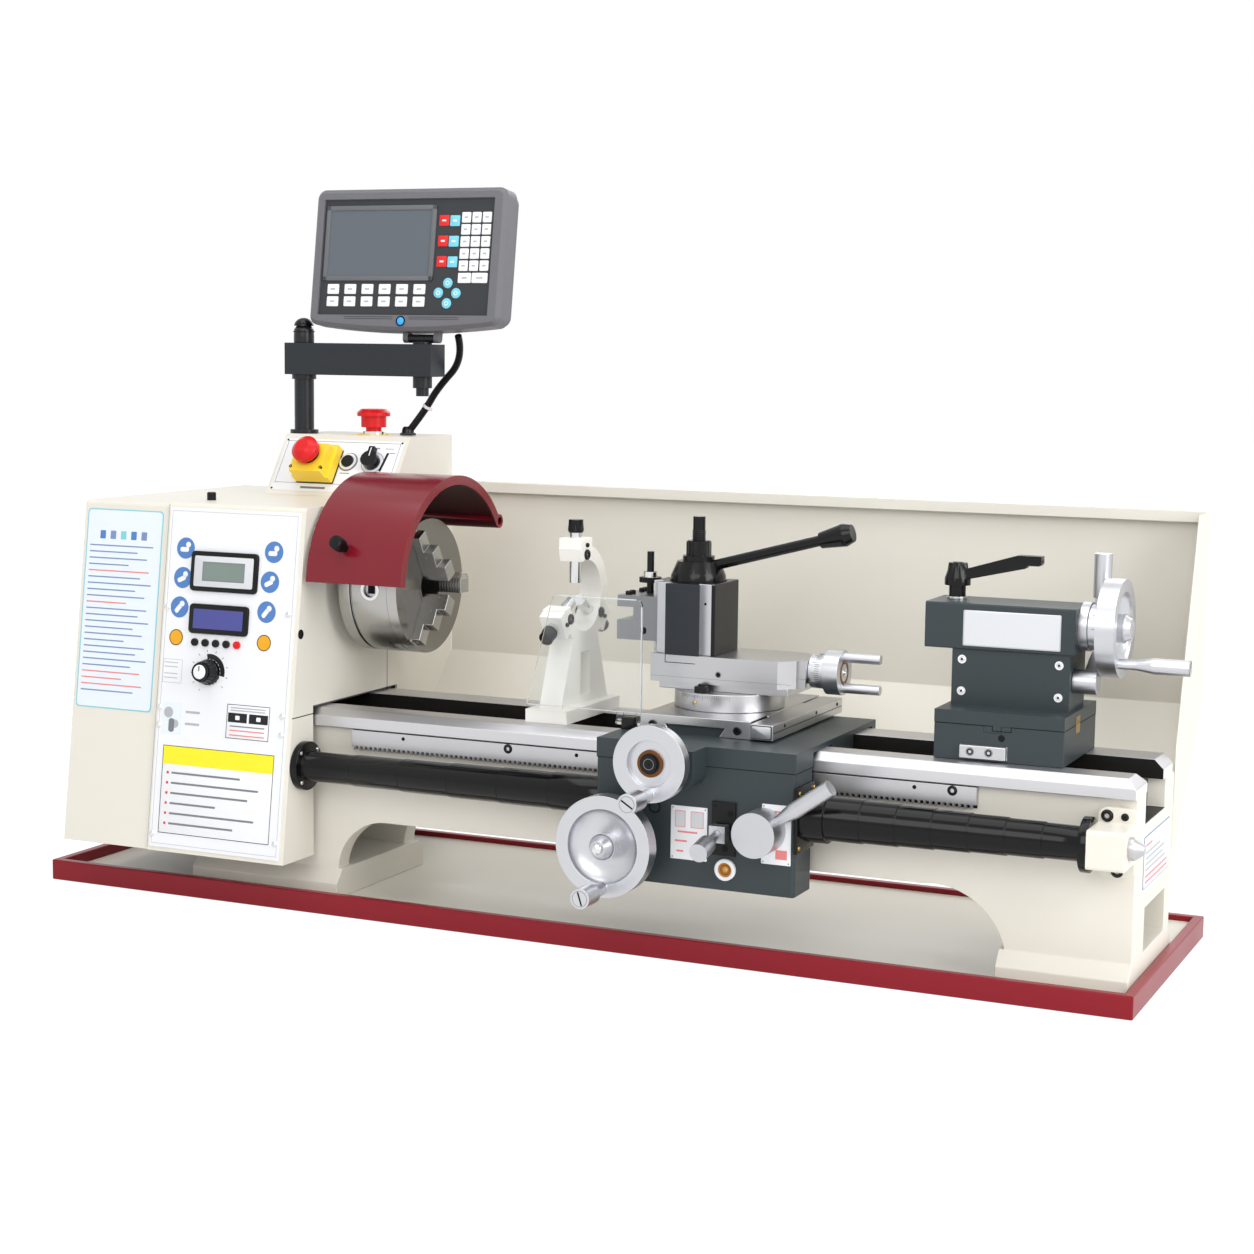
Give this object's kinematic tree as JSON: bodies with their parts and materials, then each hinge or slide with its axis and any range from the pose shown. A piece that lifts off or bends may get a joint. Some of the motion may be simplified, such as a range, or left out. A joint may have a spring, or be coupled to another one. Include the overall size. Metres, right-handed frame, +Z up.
{
  "type": "bench lathe",
  "caption": "Bench metal lathe with scroll chuck, carriage with compound slide, tailstock, steady rest, digital readout, splash guard and chip tray.",
  "frame": {"origin": "bench level below the headstock's right face, under the spindle axis", "axes": "+X along the bed towards the tailstock, +Y to the back, +Z up"},
  "size_m": [1.357, 0.508, 0.8526],
  "materials": {
    "cream_paint": "satin enamel",
    "burgundy_paint": "satin enamel",
    "slate_paint": "satin enamel",
    "white_panel": "printed foil",
    "ground_steel": "ground",
    "black_steel": "black oxide",
    "satin_aluminium": "satin",
    "cast_body": "raw casting",
    "black_plastic": "matt",
    "black_rubber": "matt",
    "yellow_plastic": "gloss",
    "red_plastic": "gloss",
    "grey_plastic": "fine texture",
    "clear_sheet": "clear"
  },
  "bodies": {
    "frame": {"tray_frame": "burgundy_paint", "chip_tray": "cream_paint", "bed": "cream_paint", "splash_guard": "cream_paint", "headstock_casing": "cream_paint", "end_cover": "cream_paint", "headstock_casting": "cast_body", "spindle_bearings": "ground_steel", "drive_motor": "cast_body", "drive_belt": "black_rubber", "control_panel": "white_panel", "control_box": "cream_paint", "switch_box": "yellow_plastic", "readout_column": "black_steel", "readout_cable": "black_rubber", "screw_cover_left": "black_steel", "screw_cover_right": "black_steel", "screw_bracket": "cream_paint", "gear_rack": "ground_steel"},
    "spindle": {"spindle": "ground_steel", "chuck_back_plate": "ground_steel", "chuck_body": "ground_steel"},
    "jaw_1": {"chuck_jaw_1": "ground_steel"},
    "jaw_2": {"chuck_jaw_2": "ground_steel"},
    "jaw_3": {"chuck_jaw_3": "ground_steel"},
    "rotor": {"motor_rotor": "ground_steel"},
    "guard": {"chuck_guard": "burgundy_paint"},
    "speed_knob": {"speed_knob": "black_plastic"},
    "start_button": {"start_button": "black_plastic"},
    "selector": {"selector_knob": "black_plastic"},
    "switch_stop": {"switch_stop_button": "red_plastic"},
    "top_stop": {"top_stop_button": "red_plastic"},
    "readout_arm": {"readout_arm": "slate_paint"},
    "readout_stem": {"readout_stem": "black_steel"},
    "readout": {"readout_housing": "grey_plastic"},
    "lead_screw": {"lead_screw": "ground_steel"},
    "carriage": {"saddle": "slate_paint", "apron": "slate_paint"},
    "apron_wheel": {"apron_handwheel": "satin_aluminium"},
    "cross_wheel": {"cross_handwheel": "satin_aluminium"},
    "feed_lever": {"feed_lever": "satin_aluminium"},
    "half_nut_lever": {"half_nut_lever": "satin_aluminium"},
    "cross_slide": {"cross_slide": "ground_steel"},
    "compound": {"compound_base": "ground_steel"},
    "top_slide": {"top_slide": "ground_steel", "tool_post": "black_steel"},
    "top_wheel": {"top_slide_wheel": "satin_aluminium"},
    "tool_lever": {"tool_post_lever": "black_steel"},
    "tool_holder": {"tool_holder": "black_steel"},
    "shield": {"chip_shield": "clear_sheet"},
    "tailstock": {"tailstock_base": "slate_paint", "tailstock_body": "slate_paint"},
    "quill": {"quill": "ground_steel"},
    "tail_wheel": {"tailstock_handwheel": "satin_aluminium"},
    "lock_lever": {"quill_lock_lever": "black_steel"},
    "tail_clamp": {"tailstock_clamp_lever": "satin_aluminium"},
    "steady": {"steady_frame": "cream_paint"},
    "finger_1": {"steady_finger_1": "ground_steel"},
    "finger_2": {"steady_finger_2": "ground_steel"},
    "finger_3": {"steady_finger_3": "ground_steel"}
  },
  "joints": [
    {"name": "spindle_spin", "type": "hinge", "parent": "frame", "child": "spindle", "pos_m": [0, 0, 0.377], "axis": [1, 0, 0], "continuous": true},
    {"name": "jaw_1_slide", "type": "slide", "parent": "spindle", "child": "jaw_1", "axis": [0, 1, 0], "range_m": [-0.008, 0.012]},
    {"name": "jaw_2_slide", "type": "slide", "parent": "spindle", "child": "jaw_2", "axis": [0, -0.5, 0.866], "range_m": [-0.008, 0.012]},
    {"name": "jaw_3_slide", "type": "slide", "parent": "spindle", "child": "jaw_3", "axis": [0, -0.5, -0.866], "range_m": [-0.008, 0.012]},
    {"name": "motor_spin", "type": "hinge", "parent": "frame", "child": "rotor", "pos_m": [0, 0.15, 0.165], "axis": [1, 0, 0], "continuous": true},
    {"name": "guard_swing", "type": "hinge", "parent": "frame", "child": "guard", "pos_m": [0, 0.10945, 0.44808], "axis": [-1, 0, 0], "range_deg": [0, 50]},
    {"name": "speed_knob_turn", "type": "hinge", "parent": "frame", "child": "speed_knob", "pos_m": [-0.1176, -0.14528, 0.27608], "axis": [0, 0.9911, -0.133], "range_deg": [0, 270]},
    {"name": "start_press", "type": "slide", "parent": "frame", "child": "start_button", "axis": [0, 0.8286, -0.5599], "range_m": [0, 0.003], "stiffness_N_per_m": 400},
    {"name": "selector_turn", "type": "hinge", "parent": "frame", "child": "selector", "pos_m": [-0.042, 0.09999, 0.51343], "axis": [0, 0.8286, -0.5599], "range_deg": [-45, 45]},
    {"name": "switch_stop_press", "type": "slide", "parent": "frame", "child": "switch_stop", "axis": [0, 0.8286, -0.5599], "range_m": [0, 0.004], "stiffness_N_per_m": 400},
    {"name": "top_stop_press", "type": "slide", "parent": "frame", "child": "top_stop", "axis": [0, 0, -1], "range_m": [0, 0.004], "stiffness_N_per_m": 400},
    {"name": "arm_swing", "type": "hinge", "parent": "frame", "child": "readout_arm", "pos_m": [-0.168, 0.142, 0.64], "axis": [0, 0, 1], "range_deg": [-35, 60], "deforming": ["readout_cable"]},
    {"name": "readout_swivel", "type": "hinge", "parent": "readout_arm", "child": "readout_stem", "pos_m": [0.005, 0.142, 0.64], "axis": [0, 0, 1], "range_deg": [-30, 35], "deforming": ["readout_cable"]},
    {"name": "readout_tilt", "type": "hinge", "parent": "readout_stem", "child": "readout", "pos_m": [0.005, 0.142, 0.668], "axis": [1, 0, 0], "range_deg": [-12, 12], "deforming": ["readout_cable"]},
    {"name": "leadscrew_spin", "type": "hinge", "parent": "frame", "child": "lead_screw", "pos_m": [0, -0.13, 0.173], "axis": [1, 0, 0], "continuous": true},
    {"name": "carriage_slide", "type": "slide", "parent": "frame", "child": "carriage", "axis": [1, 0, 0], "range_m": [-0.035, 0.015], "deforming": ["screw_cover_left", "screw_cover_right"]},
    {"name": "apron_wheel_turn", "type": "hinge", "parent": "carriage", "child": "apron_wheel", "pos_m": [0.422, -0.198, 0.134], "axis": [0, 1, 0], "range_deg": [-540, 240]},
    {"name": "feed_lever_tilt", "type": "hinge", "parent": "carriage", "child": "feed_lever", "pos_m": [0.542, -0.15, 0.154], "axis": [1, 0, 0], "range_deg": [-15, 15]},
    {"name": "half_nut_turn", "type": "hinge", "parent": "carriage", "child": "half_nut_lever", "pos_m": [0.588, -0.176, 0.16], "axis": [0, 1, 0], "range_deg": [0, 30]},
    {"name": "shield_swing", "type": "hinge", "parent": "carriage", "child": "shield", "pos_m": [0.4, -0.094, 0.2505], "axis": [1, 0, 0], "range_deg": [0, 70]},
    {"name": "cross_wheel_turn", "type": "hinge", "parent": "carriage", "child": "cross_wheel", "pos_m": [0.482, -0.21, 0.231], "axis": [0, 1, 0], "range_deg": [-1840, 1840]},
    {"name": "cross_slide_travel", "type": "slide", "parent": "carriage", "child": "cross_slide", "axis": [0, 1, 0], "range_m": [-0.02, 0.02]},
    {"name": "compound_swivel", "type": "hinge", "parent": "cross_slide", "child": "compound", "pos_m": [0.482, 0, 0.273], "axis": [0, 0, 1], "range_deg": [-30, 10]},
    {"name": "top_slide_travel", "type": "slide", "parent": "compound", "child": "top_slide", "axis": [1, 0, 0], "range_m": [-0.008, 0.022]},
    {"name": "top_wheel_turn", "type": "hinge", "parent": "top_slide", "child": "top_wheel", "pos_m": [0.6, 0, 0.309], "axis": [1, 0, 0], "range_deg": [-760, 2020]},
    {"name": "tool_lever_turn", "type": "hinge", "parent": "top_slide", "child": "tool_lever", "pos_m": [0.443, -0.003, 0.41], "axis": [0, 0, 1], "range_deg": [-60, 60]},
    {"name": "holder_lift", "type": "slide", "parent": "top_slide", "child": "tool_holder", "axis": [0, 0, 1], "range_m": [0, 0.02]},
    {"name": "tailstock_slide", "type": "slide", "parent": "frame", "child": "tailstock", "axis": [1, 0, 0], "range_m": [0, 0.07]},
    {"name": "tail_wheel_turn", "type": "hinge", "parent": "tailstock", "child": "tail_wheel", "pos_m": [0.91, 0, 0.377], "axis": [1, 0, 0], "range_deg": [-3600, 0]},
    {"name": "quill_travel", "type": "slide", "parent": "tailstock", "child": "quill", "axis": [1, 0, 0], "range_m": [-0.05, 0]},
    {"name": "quill_lock_turn", "type": "hinge", "parent": "tailstock", "child": "lock_lever", "pos_m": [0.743, 0, 0.41], "axis": [0, 0, 1], "range_deg": [-40, 60]},
    {"name": "tail_clamp_turn", "type": "hinge", "parent": "tailstock", "child": "tail_clamp", "pos_m": [0.89, -0.012, 0.32], "axis": [1, 0, 0], "range_deg": [-45, 0]},
    {"name": "steady_slide", "type": "slide", "parent": "frame", "child": "steady", "axis": [1, 0, 0], "range_m": [-0.11, 0]},
    {"name": "finger_1_slide", "type": "slide", "parent": "steady", "child": "finger_1", "axis": [0, 0, 1], "range_m": [-0.005, 0.01]},
    {"name": "finger_2_slide", "type": "slide", "parent": "steady", "child": "finger_2", "axis": [0, -0.866, -0.5], "range_m": [-0.005, 0.01]},
    {"name": "finger_3_slide", "type": "slide", "parent": "steady", "child": "finger_3", "axis": [0, 0.866, -0.5], "range_m": [-0.005, 0.01]}
  ],
  "couplings": [
    {"joint": "jaw_2_slide", "follows": "jaw_1_slide", "ratio": 1},
    {"joint": "jaw_3_slide", "follows": "jaw_1_slide", "ratio": 1},
    {"joint": "motor_spin", "follows": "spindle_spin", "ratio": 2},
    {"joint": "apron_wheel_turn", "follows": "carriage_slide", "rad_per_m": 251.33},
    {"joint": "cross_wheel_turn", "follows": "cross_slide_travel", "rad_per_m": 1570.8},
    {"joint": "top_wheel_turn", "follows": "top_slide_travel", "rad_per_m": 1570.8},
    {"joint": "quill_travel", "follows": "tail_wheel_turn", "m_per_rad": 0.00079577}
  ]
}
